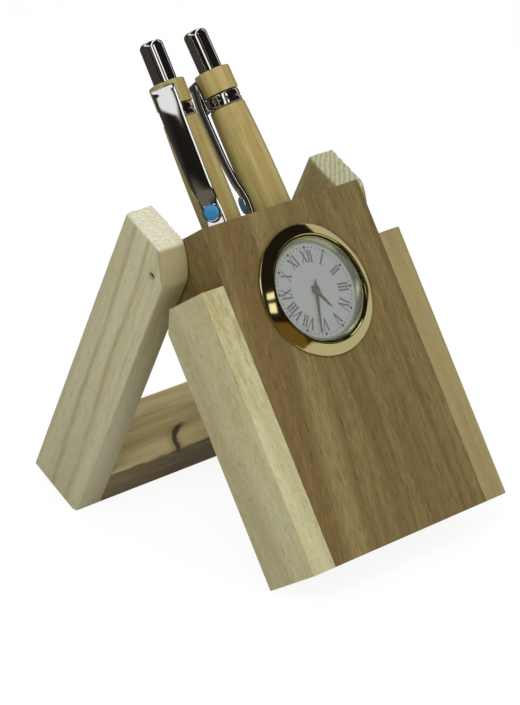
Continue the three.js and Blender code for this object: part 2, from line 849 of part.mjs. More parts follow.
const board = new THREE.Group();
board.add(centreBlock(), sideStrip('left_strip', -1), sideStrip('right_strip', 1));
board.add(pivotPin('left_pivot_pin', -1), pivotPin('right_pivot_pin', 1));
board.add(clock());
board.add(...pens.map(pen));
board.rotation.x = Math.PI / 2 - boardLean;
board.position.set(0, -standDepth / 2, boardFootHeight);

const rearFrame = new THREE.Group();
rearFrame.add(arm('left_arm', -1), arm('right_arm', 1), crossbar());
rearFrame.rotation.x = Math.PI / 2 + armLean;
rearFrame.position.set(0, -standDepth / 2 + pivotBehindFoot, pivotHeight);

const stand = new THREE.Group();
stand.add(board, rearFrame);
export default stand;
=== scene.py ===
# A folding wooden pen stand with an insert clock in its leaning block and two click pens in its bores.
import json
import math

import bmesh
import bpy
from mathutils import Matrix, Vector, noise


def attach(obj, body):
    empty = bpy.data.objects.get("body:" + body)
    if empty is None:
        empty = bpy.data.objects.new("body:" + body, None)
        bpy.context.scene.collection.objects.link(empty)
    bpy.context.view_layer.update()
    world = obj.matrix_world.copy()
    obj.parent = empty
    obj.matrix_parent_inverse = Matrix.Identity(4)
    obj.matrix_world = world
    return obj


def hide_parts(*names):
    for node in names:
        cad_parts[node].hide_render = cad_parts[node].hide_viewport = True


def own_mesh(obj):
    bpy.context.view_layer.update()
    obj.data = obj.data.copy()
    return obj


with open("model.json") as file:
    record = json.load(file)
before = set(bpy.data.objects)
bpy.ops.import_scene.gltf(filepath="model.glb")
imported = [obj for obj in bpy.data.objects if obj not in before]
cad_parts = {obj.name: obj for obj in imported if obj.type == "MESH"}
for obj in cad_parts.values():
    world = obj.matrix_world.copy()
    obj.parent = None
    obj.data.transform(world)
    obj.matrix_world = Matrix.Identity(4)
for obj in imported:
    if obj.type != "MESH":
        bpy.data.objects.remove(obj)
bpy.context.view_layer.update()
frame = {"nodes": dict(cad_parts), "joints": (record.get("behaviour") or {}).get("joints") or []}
joints = {joint["name"]: joint for joint in frame["joints"]}

# Pieces are drawn in millimetres in the board's, the rear frame's, the clock's and the pens' own frames
MM = 0.001
ACROSS = Vector((1, 0, 0))

# The wooden pieces
HALF_BLOCK = 27.5
BLOCK_LENGTH = 92.5
BLOCK_THICKNESS = 24.0
STRIP_WIDTH = 7.5
STRIP_THICKNESS = 20.0
STRIP_LENGTH = 77.0
STRIP_CHAMFER = (4.5, 5.6)
FOOT_CUT = 0.8
ARM_GAP = 0.3
ARM_THICKNESS = 8.5
ARM_FRONT = 5.0
ARM_BACK = -15.0
ARM_TOP = 9.2
ARM_ROUND = (6.5, 9.0, 0.9)
CROSSBAR_HEIGHT = 13.0
LEAN = math.radians(30)
WOOD_EASE = 0.22
PIN_HOLE = 1.05

# The clock
CLOCK_UP = 68.1
POCKET_RADIUS = 17.2
POCKET_DEPTH = 7.45
DIAL_TURN = math.radians(9)
BEZEL_RADIUS = 18.0
COLLAR_RADIUS = 16.6
COLLAR_INNER = 14.9
COLLAR_DEPTH = 1.6
DIAL_FACE = -0.25
DIAL_RADIUS = 14.4
PRINT_DEPTH = 0.012
NUMERAL_HEIGHT = 3.3
NUMERAL_MIDDLE = 9.35
SERIF_WIDTH, SERIF_HEIGHT = 0.8, 0.16
DOT_RING = 11.75
HOUR_DOT, MINUTE_DOT = 0.42, 0.17

# The pens, measured up the pen from the block's top
PEN_ACROSS = 8.9
PEN_DEPTH = 15.0
PEN_LEAN = math.radians(2.8)
BORE_RADIUS = 6.0
BORE_DEPTH = 84.1
PEN_TOP = 53.2
RING_TOP = 41.4
NECK_TOP = 34.7
BARREL_TOP = 30.9
BARREL_BOTTOM = -71.8
NOSE_TIP = -82.8
BARREL_RADII = (4.3, 5.45, 4.95)
BARREL_SWELL = 8.0
BARREL_BORE = 3.3
CLICKER_RADIUS = 3.25
RING_RADIUS = 4.95
NECK_RADIUS = 4.7
CLIP_WIDTH = 5.6
CLIP_SHEET = 0.6
CLIP_TURNS = {"left_pen": math.radians(50), "right_pen": math.radians(112)}
CLIP_REACH = 7.55
CLIP_CROWN = 0.16
TIP_GAP = 0.3
BUTTON_ABOVE_TIP = 4.2
BUTTON_OUT = 6.95
SPRING_LOW, SPRING_HIGH = -75.65, -60.05
SPRING_RADIUS = 1.65
SPRING_WIRE = 0.35
SPRING_TURNS = 8


def frame_at(origin, up, out):
    """A matrix from a piece's own millimetres to the model's metres."""
    rotation = Matrix((ACROSS, up, out)).transposed().to_4x4()
    return Matrix.Translation(origin) @ rotation @ Matrix.Scale(MM, 4)


board_up = Vector(joints["left_pen_lift"]["axis"]).normalized()
board_out = ACROSS.cross(board_up)
clock_centre = Vector(joints["minute_turn"]["pos_m"])
board = frame_at(clock_centre - board_up * CLOCK_UP * MM, board_up, board_out)
clock = board @ Matrix.Translation((0, CLOCK_UP, 0))
pivot = Vector(joints["frame_fold"]["pos_m"])
arm_up = Vector((0, -math.sin(LEAN), math.cos(LEAN)))
rear = frame_at(pivot, arm_up, ACROSS.cross(arm_up))
pens = {
    "left_pen": board @ Matrix.Translation((-PEN_ACROSS, BLOCK_LENGTH, -PEN_DEPTH)),
    "right_pen": board @ Matrix.Translation((PEN_ACROSS, BLOCK_LENGTH, -PEN_DEPTH))
    @ Matrix.Rotation(PEN_LEAN, 4, "Z"),
}
ARM_BOTTOM = -(pivot.z / MM - ARM_FRONT * math.sin(LEAN) + FOOT_CUT) / math.cos(LEAN)


# Finishes

# Patterns to the metre
METAL_MARKS = 900
PLASTIC_GRAINS = 4000
LENS_RIPPLES = 2200


def tint(red, green, blue):
    """A colour written from 0 to 255, as the shader's own linear values."""
    def linear(level):
        level /= 255
        return level / 12.92 if level <= 0.04045 else ((level + 0.055) / 1.055) ** 2.4
    return (linear(red), linear(green), linear(blue), 1.0)


class Level:
    """A shader value that is added, subtracted, multiplied, divided and raised to a power as a number is.
    """

    def __init__(self, finish, socket):
        self.finish, self.socket = finish, socket

    def __add__(self, other):
        return self.finish.maths("ADD", self, other)

    def __sub__(self, other):
        return self.finish.maths("SUBTRACT", self, other)

    def __rsub__(self, other):
        return self.finish.maths("SUBTRACT", other, self)

    def __mul__(self, other):
        return self.finish.maths("MULTIPLY", self, other)

    def __truediv__(self, other):
        return self.finish.maths("DIVIDE", self, other)

    def __pow__(self, other):
        return self.finish.maths("POWER", self, other)

    __radd__ = __add__
    __rmul__ = __mul__


class Finish:
    """A material, or the world, with its nodes."""

    def __init__(self, name, **fixed):
        self.material = bpy.data.materials.new(name)
        self.material.use_nodes = True
        self.tree = self.material.node_tree
        self.tree.nodes.clear()
        self.shader = self.node("ShaderNodeBsdfPrincipled")
        self.output = self.node("ShaderNodeOutputMaterial", sockets={"Surface": self.shader.outputs[0]})
        self.set(**fixed)

    def node(self, kind, settings=None, sockets=None):
        """Any node: its settings first, a ramp's stops among them, then its sockets' values or links."""
        made = self.tree.nodes.new(kind)
        for key, value in (settings or {}).items():
            if key == "stops":
                ramp = made.color_ramp
                while len(ramp.elements) < len(value):
                    ramp.elements.new(1)
                for stop, (position, colour) in zip(ramp.elements, value):
                    stop.position = position
                    stop.color = colour
            else:
                setattr(made, key, value)
        for key, value in (sockets or {}).items():
            self.feed(made.inputs[key], value)
        return made

    def feed(self, socket, value):
        if isinstance(value, Level):
            value = value.socket
        if isinstance(value, bpy.types.NodeSocket):
            self.tree.links.new(value, socket)
        elif socket.type == "VECTOR":
            socket.default_value = value[:3]
        else:
            socket.default_value = value

    def set(self, **values):
        for key, value in values.items():
            self.feed(self.shader.inputs[key.replace("_", " ").title().replace("Ior", "IOR")], value)

    def maths(self, operation, *terms):
        made = self.node("ShaderNodeMath", {"operation": operation}, dict(enumerate(terms)))
        return Level(self, made.outputs[0])

    def local(self, place):
        """The point on the surface, in the millimetres of a piece's own frame."""
        points = self.node("ShaderNodeTexCoord").outputs["Object"]
        turn = place.to_3x3().normalized().to_euler("XYZ")
        mapping = self.node(
            "ShaderNodeMapping", {"vector_type": "TEXTURE"},
            {"Vector": points, "Location": place.translation, "Rotation": turn, "Scale": (MM, MM, MM)},
        )
        split = self.node("ShaderNodeSeparateXYZ", sockets={0: mapping.outputs[0]})
        return [Level(self, out) for out in split.outputs]

    def point(self, x, y, z):
        return Level(self, self.node("ShaderNodeCombineXYZ", sockets={0: x, 1: y, 2: z}).outputs[0])

    def noise(self, x, y, z, detail=2.0, roughness=0.5):
        """Noise from 0 to 1, with features about one unit across."""
        made = self.node("ShaderNodeTexNoise", sockets={
            "Vector": self.point(x, y, z), "Scale": 1.0, "Detail": detail, "Roughness": roughness,
        })
        return Level(self, made.outputs[0])

    def speckle(self, scale, detail):
        """Fine noise from 0 to 1 that doesn't follow a piece's own lie, with its scale to the metre."""
        made = self.node("ShaderNodeTexNoise", sockets={
            "Vector": self.node("ShaderNodeTexCoord").outputs["Object"],
            "Scale": scale, "Detail": detail, "Roughness": 0.6,
        })
        return Level(self, made.outputs[0])

    def smooth(self, value, low, high, start=0.0, end=1.0):
        """A smooth step from start to end as the value goes from low to high."""
        made = self.node("ShaderNodeMapRange", {"interpolation_type": "SMOOTHSTEP"}, {
            0: value, 1: low, 2: high, 3: start, 4: end,
        })
        return Level(self, made.outputs[0])

    def mix(self, factor, first, second, blend="MIX"):
        made = self.node("ShaderNodeMix", {"data_type": "RGBA", "blend_type": blend}, {
            0: factor, 6: first, 7: second,
        })
        return Level(self, made.outputs[2])

    def shade(self, colour, strength):
        """The colour made lighter or darker by a factor."""
        made = self.node("ShaderNodeVectorMath", {"operation": "SCALE"}, {0: colour, "Scale": strength})
        return Level(self, made.outputs[0])

    def bump(self, height, depth_mm, strength):
        made = self.node("ShaderNodeBump", sockets={
            "Strength": strength, "Distance": depth_mm * MM, "Height": height,
        })
        self.set(normal=made.outputs[0])


def wooden(name, place, tones, figure, lean=None, gloss=0.62, end=None, face=None):
    """Wood with its fibres along the piece's own Y.

    tones are its light, middle, dark and streak colours. figure has the wander of its fibres, the bands'
    frequency, the pith's place, the rings' spacing and slant, and how strongly each of them shows.
    """
    finish = Finish(name, metallic=0.0)
    x, y, z = finish.local(place)
    light, middle, dark, streak = tones
    drift = finish.noise(x * 0.03, y * 0.012, z * 0.03, 2) - 0.5
    across = x + drift * figure["wander"]
    if lean:
        across = lean(finish, across, y, z)
    deep = z + drift * figure["wander"] + y * figure.get("slant", 0.0)
    fibre = finish.noise(across * 2.6, y * 0.13, deep * 2.6, 3, 0.6)
    thread = finish.noise(across * 4.4, y * 0.3, deep * 4.4, 2, 0.6)
    bands = finish.noise(across * figure["bands"], y * 0.008, deep * figure["bands"], 3, 0.55)
    px, pz = figure["pith"]
    away = ((across - px) ** 2 + (deep - pz) ** 2) ** 0.5
    rings = finish.maths("FRACT", (away + (fibre - 0.5) * 0.5) / figure["ring"])
    late = finish.smooth(rings, 0.55, 0.96) * finish.smooth(rings, 1.0, 0.96)
    pores = finish.smooth(finish.noise(across * 3.2, y * 0.26, deep * 3.2, 1), 0.60, 0.74)
    colour = finish.mix(finish.smooth(bands, 0.32, 0.68), dark, light)
    colour = finish.mix(0.45, colour, middle)
    warm = finish.smooth(finish.noise(across * 0.8, y * 0.03, deep * 0.8, 2), 0.5, 0.75)
    colour = finish.mix(warm * figure["warm"], colour, streak)
    colour = finish.mix(late * figure["late"], colour, dark)
    if face:
        colour = face(finish, colour, x, y, z, across)
    strength = 1 + (fibre - 0.5) * figure["fibre"] + (thread - 0.5) * figure["thread"]
    strength = strength - pores * figure["pores"]
    if end:
        colour, strength = end(finish, colour, strength, x, y, z)
    finish.set(
        base_color=finish.shade(colour, strength),
        roughness=gloss + (thread - 0.5) * 0.2 + pores * 0.1,
        specular_ior_level=0.35,
    )
    finish.bump(fibre * 0.6 + thread * 0.4 - pores * 0.8 - late * 0.2, 0.06, 0.7)
    return finish.material


def block_lean(finish, across, y, z):
    """The block's fibres lean towards its left edge lower down."""
    return across + (HALF_BLOCK - across) * (50 - y) * 0.0025


def block_face(finish, colour, x, y, z, across):
    """The lighter band that runs down from the clock, and the brown band beside the left strip."""
    band = finish.smooth(across, -16.5, -14.5) * finish.smooth(across, -8, -13)
    colour = finish.mix(band * 0.5, colour, tint(147, 131, 84))
    brown = finish.smooth(across, -16, -19) * finish.smooth(across, -29, -24)
    colour = finish.mix(brown * 0.55, colour, tint(109, 85, 45))
    low = finish.smooth(y, 45, 0) * finish.smooth(across, -22, -27)
    return finish.mix(low * 0.4, colour, tint(128, 121, 78))


block_wood = wooden(
    "dark_wood", board,
    (tint(135, 117, 73), tint(121, 104, 61), tint(99, 81, 45), tint(123, 91, 48)),
    dict(wander=5, bands=0.22, pith=(-70, -60), ring=3.1, warm=0.55, late=0.30,
         fibre=0.62, thread=1.15, pores=0.34),
    lean=block_lean, face=block_face,
)

PALE = (tint(201, 195, 154), tint(192, 186, 145), tint(173, 163, 117), tint(194, 180, 124))


def strip_lean(finish, across, y, z):
    """The strip's fibres slant across its side."""
    return across + (y - z * 0.4) * 0.10


def strip_face(finish, colour, x, y, z, across):
    """The flame at the corner of the strip's front, near its top."""
    from_top = y - STRIP_LENGTH
    spread = from_top * -0.16 + 2.4
    flame = finish.smooth(finish.maths("ABSOLUTE", z + 1.2 + from_top * 0.012), spread, spread * 0.5)
    wave = finish.noise(x * 0.5, y * 0.16, z * 0.6, 3, 0.6)
    flame = flame * finish.smooth(y, 34, 58) * finish.smooth(wave, 0.45, 0.62)
    return finish.mix(flame * 0.55, colour, tint(165, 148, 87))


left_strip_wood = wooden(
    "left_strip_wood", board, PALE,
    dict(wander=4, bands=0.12, pith=(-60, 30), ring=2.6, warm=0.25, late=0.16,
         fibre=0.42, thread=0.55, pores=0.30, slant=0.10),
    lean=strip_lean, face=strip_face, gloss=0.66,
)
right_strip_wood = wooden(
    "right_strip_wood", board,
    (tint(166, 151, 106), tint(154, 138, 93), tint(134, 117, 74), tint(157, 135, 83)),
    dict(wander=4, bands=0.25, pith=(60, 30), ring=2.4, warm=0.3, late=0.2,
         fibre=0.20, thread=0.22, pores=0.16),
    gloss=0.66,
)


# How far behind the pivot each thin line lies, its width and its strength
ARM_LINES = ((-8.5, 0.55, 0.5), (-2.6, 0.5, 0.55), (2.2, 0.4, 0.3))


def arm_face(finish, colour, x, y, z, across):
    """Thin brown lines along the arm's side, and painted shade on its front edge and on the round at the
    front of its top.
    """
    wave = finish.noise(x * 0.02, y * 0.03, z * 0.05, 2) - 0.5
    for offset, width, strength in ARM_LINES:
        middle = finish.maths("ABSOLUTE", z - offset + wave * 5 + (y + 35) * 0.035)
        line = finish.smooth(middle, width * 2.4, 0) * finish.smooth(wave, -0.3, 0.05)
        colour = finish.mix(line * strength * 1.2, colour, tint(168, 151, 106))
    # Painted shade: the front edge and the round at the front of the top are darkened towards a duller
    # tan.
    high = finish.maths("MAXIMUM", y, 0)
    edge = finish.smooth(z + high * 0.72, ARM_FRONT - 0.8, ARM_FRONT - 0.1) * finish.smooth(y, -62, -2)
    return finish.mix(edge * 0.8, colour, tint(158, 147, 104))


def arm_end(finish, colour, strength, x, y, z):
    """The pale sawn end of an arm."""
    top = finish.smooth(y, ARM_TOP - 1.2, ARM_TOP - 0.3)
    rough = finish.noise(x * 2.2, y * 2.2, z * 2.2, 3, 0.75)
    colour = finish.mix(top * 0.9, colour, tint(229, 226, 201))
    return colour, strength * (1 - top * 0.9) + top * (0.90 + (rough - 0.5) * 1.0)


def striped_end(finish, colour, strength, x, y, z):
    """The right arm's sawn end, with its rings showing as stripes."""
    top = finish.smooth(y, ARM_TOP - 1.2, ARM_TOP - 0.3)
    wave = finish.noise(x * 0.25, y * 0.25, z * 0.25, 2) - 0.5
    stripes = finish.maths("SINE", (x * 0.76 + z * 0.65 + wave * 1.5) * 4.6)
    colour = finish.mix(top * 0.9, colour, tint(196, 194, 160))
    return colour, strength * (1 - top * 0.9) + top * (0.80 + stripes * 0.16)


left_arm_wood = wooden(
    "left_arm_wood", rear,
    (tint(207, 202, 165), tint(199, 194, 158), tint(182, 174, 134), tint(195, 184, 140)),
    dict(wander=4, bands=0.16, pith=(-20, -70), ring=3.6, warm=0.2, late=0.16,
         fibre=0.22, thread=0.3, pores=0.18),
    face=arm_face, end=arm_end, gloss=0.68,
)
right_arm_wood = wooden(
    "right_arm_wood", rear,
    (tint(174, 161, 111), tint(162, 147, 99), tint(138, 121, 77), tint(168, 147, 95)),
    dict(wander=4, bands=0.2, pith=(30, -60), ring=3.0, warm=0.3, late=0.22,
         fibre=0.3, thread=0.34, pores=0.2),
    end=striped_end, gloss=0.68,
)


# The dark knot at the crossbar's lower front edge
KNOT_ACROSS = 3.5
KNOT_RADIUS = 7.0


def crossbar_material():
    """Tan wood with its fibres along X, painted shade with lighter streaks of grain on its lower front
    face, and the ring of a knot.
    """
    finish = Finish("tan_wood", metallic=0.0)
    x, y, z = finish.local(rear)
    drift = finish.noise(x * 0.014, y * 0.05, z * 0.05, 2) - 0.5
    up, deep = y + drift * 7, z + drift * 7
    fibre = finish.noise(x * 0.13, up * 2.6, deep * 2.6, 3, 0.6)
    thread = finish.noise(x * 0.35, up * 4, deep * 4, 2, 0.6)
    bands = finish.noise(x * 0.012, up * 0.28, deep * 0.28, 3, 0.6)
    colour = finish.mix(finish.smooth(bands, 0.35, 0.65), tint(204, 184, 128), tint(234, 217, 160))
    wave = finish.noise(x * 0.09, y * 0.2, z * 0.2, 3, 0.6) - 0.5
    below = CROSSBAR_HEIGHT + ARM_BOTTOM - y
    # Painted shade: the lower front face is darkened to brown, deeper towards the right, with lighter
    # streaks of grain in it.
    front = finish.smooth(z, ARM_FRONT - 0.6, ARM_FRONT - 0.2) * finish.smooth(below + wave * 4, 0.2, 1.4)
    painted_shade_front = finish.mix(finish.smooth(x, -22, 2), tint(112, 97, 70), tint(84, 70, 50))
    streaks = finish.smooth(finish.noise(x * 0.06, y * 1.1, z * 1.1, 3, 0.65), 0.5, 0.66)
    painted_shade_front = finish.mix(streaks * 0.6, painted_shade_front, tint(150, 132, 96))
    colour = finish.mix(front * 0.88, colour, painted_shade_front)
    pale = finish.smooth(z + wave * 6, 1.6, 3.6) * finish.smooth(x + wave * 14, -7, -13) * (1 - front)
    colour = finish.mix(pale * 0.6, colour, tint(216, 203, 156))
    reach = ((x - KNOT_ACROSS) ** 2 + (z - ARM_FRONT) ** 2 + below ** 2 * 3) ** 0.5
    ring = finish.maths("ABSOLUTE", reach - KNOT_RADIUS + wave * 3)
    knot = finish.smooth(ring, 1.1, 0.4) * finish.smooth(x, 5.5, 1) * finish.smooth(below, 4, 0)
    colour = finish.mix(knot * 0.92, colour, tint(58, 46, 34))
    halo = finish.smooth(ring, 3.2, 0.8) * finish.smooth(x, 4, -3) * finish.smooth(below, 4, 0)
    colour = finish.mix(halo * 0.35, colour, tint(110, 92, 62))
    finish.set(
        base_color=finish.shade(colour, 1 + (fibre - 0.5) * 0.26 + (thread - 0.5) * 0.26),
        roughness=0.66 + (thread - 0.5) * 0.2, specular_ior_level=0.35,
    )
    finish.bump(fibre * 0.6 + thread * 0.4, 0.06, 0.7)
    return finish.material


tan_wood = crossbar_material()


def bamboo(name, place, depth):
    """Turned bamboo: fine straight fibres, pale and darker by turns, under a clear lacquer."""
    finish = Finish(name, metallic=0.0, coat_weight=0.25, coat_roughness=0.25)
    x, y, z = finish.local(place)
    fibre = finish.noise(x * 3.2, y * 0.10, z * 3.2, 3, 0.6)
    thread = finish.noise(x * 5, y * 0.3, z * 5, 2, 0.6)
    bands = finish.noise(x * 0.5, y * 0.02, z * 0.5, 2)
    flecks = finish.smooth(finish.noise(x * 3.6, y * 0.2, z * 3.6, 1), 0.62, 0.74)
    colour = finish.mix(finish.smooth(bands, 0.35, 0.65), tint(167, 147, 85), tint(188, 173, 112))
    colour = finish.mix(flecks * 0.4, colour, tint(133, 107, 54))
    finish.set(
        base_color=finish.shade(colour, depth + (fibre - 0.5) * 0.42 + (thread - 0.5) * 0.42),
        roughness=0.42 + (thread - 0.5) * 0.15,
    )
    finish.bump(fibre * 0.6 + thread * 0.4, 0.03, 0.5)
    return finish.material


# How light each pen's bamboo is
BAMBOO_DEPTHS = {"left_pen": 0.88, "right_pen": 1.0}
bamboos = {name: bamboo(f"{name}_bamboo", place, BAMBOO_DEPTHS[name]) for name, place in pens.items()}


def metal(name, colour, roughness, wear=0.04):
    """Bright metal with faint marks and a slight ripple."""
    finish = Finish(name, metallic=1.0)
    mark = finish.speckle(METAL_MARKS, 4.0)
    finish.set(
        base_color=finish.shade(colour, 0.97 + (mark - 0.5) * 0.08),
        roughness=roughness + mark * wear,
    )
    finish.bump(mark, 0.004, 0.35)
    return finish.material


gold = metal("gold", tint(224, 210, 152), 0.06)
olive_wall = metal("gold_wall", tint(176, 182, 132), 0.22)
brass = metal("brass", tint(128, 120, 66), 0.32, 0.1)
chrome = metal("chrome", tint(226, 226, 224), 0.05, 0.03)
steel = metal("steel", tint(120, 120, 118), 0.35, 0.15)


def plastic(name, colour, roughness, grain=0.02):
    """Moulded plastic, enamel, ink or paint. grain is its roughness's depth in millimetres."""
    finish = Finish(name, metallic=0.0)
    speck = finish.speckle(PLASTIC_GRAINS, 3.0)
    finish.set(
        base_color=finish.shade(colour, 0.95 + speck * 0.1),
        roughness=roughness + (speck - 0.5) * 0.1,
    )
    finish.bump(speck, grain, 0.6)
    return finish.material


black_plastic = plastic("black_plastic", tint(34, 34, 36), 0.45)
grey_plastic = plastic("grey_plastic", tint(186, 188, 192), 0.5)
rubber = plastic("rubber", tint(40, 40, 40), 0.85)
enamel = plastic("enamel", tint(62, 138, 190), 0.15, 0.003)
print_ink = plastic("print_ink", tint(66, 68, 66), 0.6, 0.002)
dot_ink = plastic("dot_ink", tint(24, 25, 25), 0.6, 0.002)
dial_paint = plastic("dial_white", tint(146, 149, 144), 0.55, 0.004)


def lens_material():
    """A clear cover that only shines."""
    finish = Finish("clear_lens", metallic=0.0, roughness=0.02, ior=1.45, alpha=0.06)
    finish.set(base_color=tint(244, 248, 248))
    finish.bump(finish.speckle(LENS_RIPPLES, 2.0), 0.002, 0.2)
    return finish.material


lens_clear = lens_material()


# Mesh making, in millimetres

def finished(bm, name, place, body, material, smooth=35, replaces=()):
    """Turns a mesh in a piece's own frame into a named object that rides on its body."""
    bmesh.ops.transform(bm, matrix=place, verts=bm.verts)
    bmesh.ops.recalc_face_normals(bm, faces=bm.faces)
    mesh = bpy.data.meshes.new(name)
    bm.to_mesh(mesh)
    bm.free()
    mesh.shade_smooth()
    mesh.set_sharp_from_angle(angle=math.radians(smooth))
    mesh.materials.append(material)
    piece = bpy.data.objects.new(name, mesh)
    bpy.context.scene.collection.objects.link(piece)
    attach(piece, body)
    if replaces:
        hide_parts(*replaces)
    return piece


def turned(profile, steps=96, along="Y"):
    """A solid turned about its own axis from (radius, height) pairs, closed at the axis or on itself."""
    bm = bmesh.new()
    points = [bm.verts.new((radius, height, 0)) for radius, height in profile]
    edges = [bm.edges.new(pair) for pair in zip(points, points[1:])]
    if profile[0][0] > 0 and profile[-1][0] > 0:
        edges.append(bm.edges.new((points[-1], points[0])))
    bmesh.ops.spin(
        bm, geom=points + edges, cent=(0, 0, 0), axis=(0, 1, 0),
        angle=math.tau, steps=steps, use_merge=True,
    )
    bmesh.ops.remove_doubles(bm, verts=bm.verts, dist=1e-4)
    if along == "Z":
        bmesh.ops.transform(bm, matrix=Matrix.Rotation(math.radians(90), 4, "X"), verts=bm.verts)
    bmesh.ops.recalc_face_normals(bm, faces=bm.faces)
    return bm


def coil(radius, wire, low, high, turns, steps=24):
    """A wire spring up its own Y, whose first and last turns lie closed against the next."""
    bm = bmesh.new()
    section = Matrix.Translation((radius, low, 0))
    bmesh.ops.create_circle(bm, segments=10, radius=wire, matrix=section)
    ring = [*bm.verts, *bm.edges]
    closed = 2.1 * wire
    for count, rise in ((1, closed), (turns - 2, high - low - 2 * closed), (1, closed)):
        grown = bmesh.ops.spin(
            bm, geom=ring, cent=(0, 0, 0), axis=(0, 1, 0), dvec=(0, rise / (count * steps), 0),
            angle=-count * math.tau, steps=count * steps,
        )
        ring = [e for e in grown["geom_last"] if not isinstance(e, bmesh.types.BMFace)]
    bmesh.ops.holes_fill(bm, edges=bm.edges[:], sides=0)
    bmesh.ops.recalc_face_normals(bm, faces=bm.faces)
    return bm


def rounded(corner, radius, height, top=True, steps=5):
    """Points of a quarter round at the rim of a turned piece, from its side to its end, or back."""
    points = []
    for step in range(steps + 1):
        angle = step / steps * math.pi / 2
        out = radius - corner * (1 - math.cos(angle))
        along = corner * (1 - math.sin(angle))
        points.append((out, height - along if top else height + along))
    return points if top else points[::-1]


def extruded(outline, low, high):
    """A bar along X whose side view is a list of (y, z) points."""
    bm = bmesh.new()
    face = bm.faces.new([bm.verts.new((low, y, z)) for y, z in outline])
    grown = bmesh.ops.extrude_face_region(bm, geom=[face])
    moved = [v for v in grown["geom"] if isinstance(v, bmesh.types.BMVert)]
    bmesh.ops.translate(bm, verts=moved, vec=(high - low, 0, 0))
    bmesh.ops.recalc_face_normals(bm, faces=bm.faces)
    return bm


def ease(bm, width, segments=2, angle=20):
    """Rounds every edge that turns by more than the angle."""
    sharp = [e for e in bm.edges if e.is_manifold and e.calc_face_angle() > math.radians(angle)]
    bmesh.ops.bevel(
        bm, geom=sharp, offset=width, offset_type="OFFSET", segments=segments,
        profile=0.5, affect="EDGES", material=-1, clamp_overlap=True,
    )
    return bm


def carved(bm, cutters):
    """The mesh with the cutters' meshes taken out of it."""
    def held(mesh_bm, name):
        mesh = bpy.data.meshes.new(name)
        mesh_bm.to_mesh(mesh)
        mesh_bm.free()
        piece = bpy.data.objects.new(name, mesh)
        bpy.context.scene.collection.objects.link(piece)
        return piece
    blank = held(bm, "blank")
    tools = [held(cutter, f"cutter_{number}") for number, cutter in enumerate(cutters)]
    for tool in tools:
        modifier = blank.modifiers.new(tool.name, "BOOLEAN")
        modifier.operation, modifier.solver, modifier.object = "DIFFERENCE", "EXACT", tool
    result = bmesh.new()
    result.from_object(blank, bpy.context.evaluated_depsgraph_get())
    for piece in [blank, *tools]:
        mesh = piece.data
        bpy.data.objects.remove(piece)
        bpy.data.meshes.remove(mesh)
    bmesh.ops.remove_doubles(result, verts=result.verts, dist=1e-3)
    return result


# The block and its strips

block_side = [
    (0, 0), (BLOCK_LENGTH, 0), (BLOCK_LENGTH, -BLOCK_THICKNESS),
    (FOOT_CUT / math.cos(LEAN), -BLOCK_THICKNESS), (0, -BLOCK_THICKNESS + FOOT_CUT / math.sin(LEAN)),
]
pocket = turned([
    (0, -POCKET_DEPTH), (POCKET_RADIUS, -POCKET_DEPTH), (POCKET_RADIUS, 1), (0, 1),
], 128, "Z")
bmesh.ops.translate(pocket, verts=pocket.verts, vec=(0, CLOCK_UP, 0))
cutters = [pocket]
for place in pens.values():
    bore = turned([
        (0, -BORE_DEPTH - BORE_RADIUS * 0.6), (BORE_RADIUS, -BORE_DEPTH), (BORE_RADIUS, 1), (0, 1),
    ])
    bmesh.ops.transform(bore, matrix=board.inverted() @ place, verts=bore.verts)
    cutters.append(bore)
block = ease(carved(extruded(block_side, -HALF_BLOCK, HALF_BLOCK), cutters), WOOD_EASE)
finished(block, "block_of_wood", board, "board", block_wood, replaces=["centre_block"])

strip_side = [
    (0, 0), (STRIP_LENGTH, 0), (STRIP_LENGTH, -STRIP_THICKNESS + STRIP_CHAMFER[0]),
    (STRIP_LENGTH - STRIP_CHAMFER[1], -STRIP_THICKNESS), (0, -STRIP_THICKNESS),
]
for name, low, material in (
    ("left_strip", -HALF_BLOCK - STRIP_WIDTH, left_strip_wood),
    ("right_strip", HALF_BLOCK, right_strip_wood),
):
    strip = ease(extruded(strip_side, low, low + STRIP_WIDTH), WOOD_EASE)
    finished(strip, f"{name}_of_ash", board, "board", material, replaces=[name])


# The rear frame

def arm_outline():
    """The arm's side view, with the round at the front of its top."""
    across, along, bulge = ARM_ROUND
    chord = math.hypot(across, along)
    outline = []
    for step in range(13):
        share = step / 12
        out = 4 * bulge * share * (1 - share)
        outline.append((
            ARM_TOP - along * share + out * across / chord,
            ARM_FRONT - across + across * share + out * along / chord,
        ))
    return outline


arm_foot = [
    (ARM_BOTTOM + FOOT_CUT / math.cos(LEAN), ARM_FRONT),
    (ARM_BOTTOM, ARM_FRONT - FOOT_CUT / math.sin(LEAN)),
    (ARM_BOTTOM, ARM_BACK),
]
ARM_INNER = HALF_BLOCK + ARM_GAP
ARM_OUTER = ARM_INNER + ARM_THICKNESS


SAWN_REACH = 10
SAW_STEP = 0.4


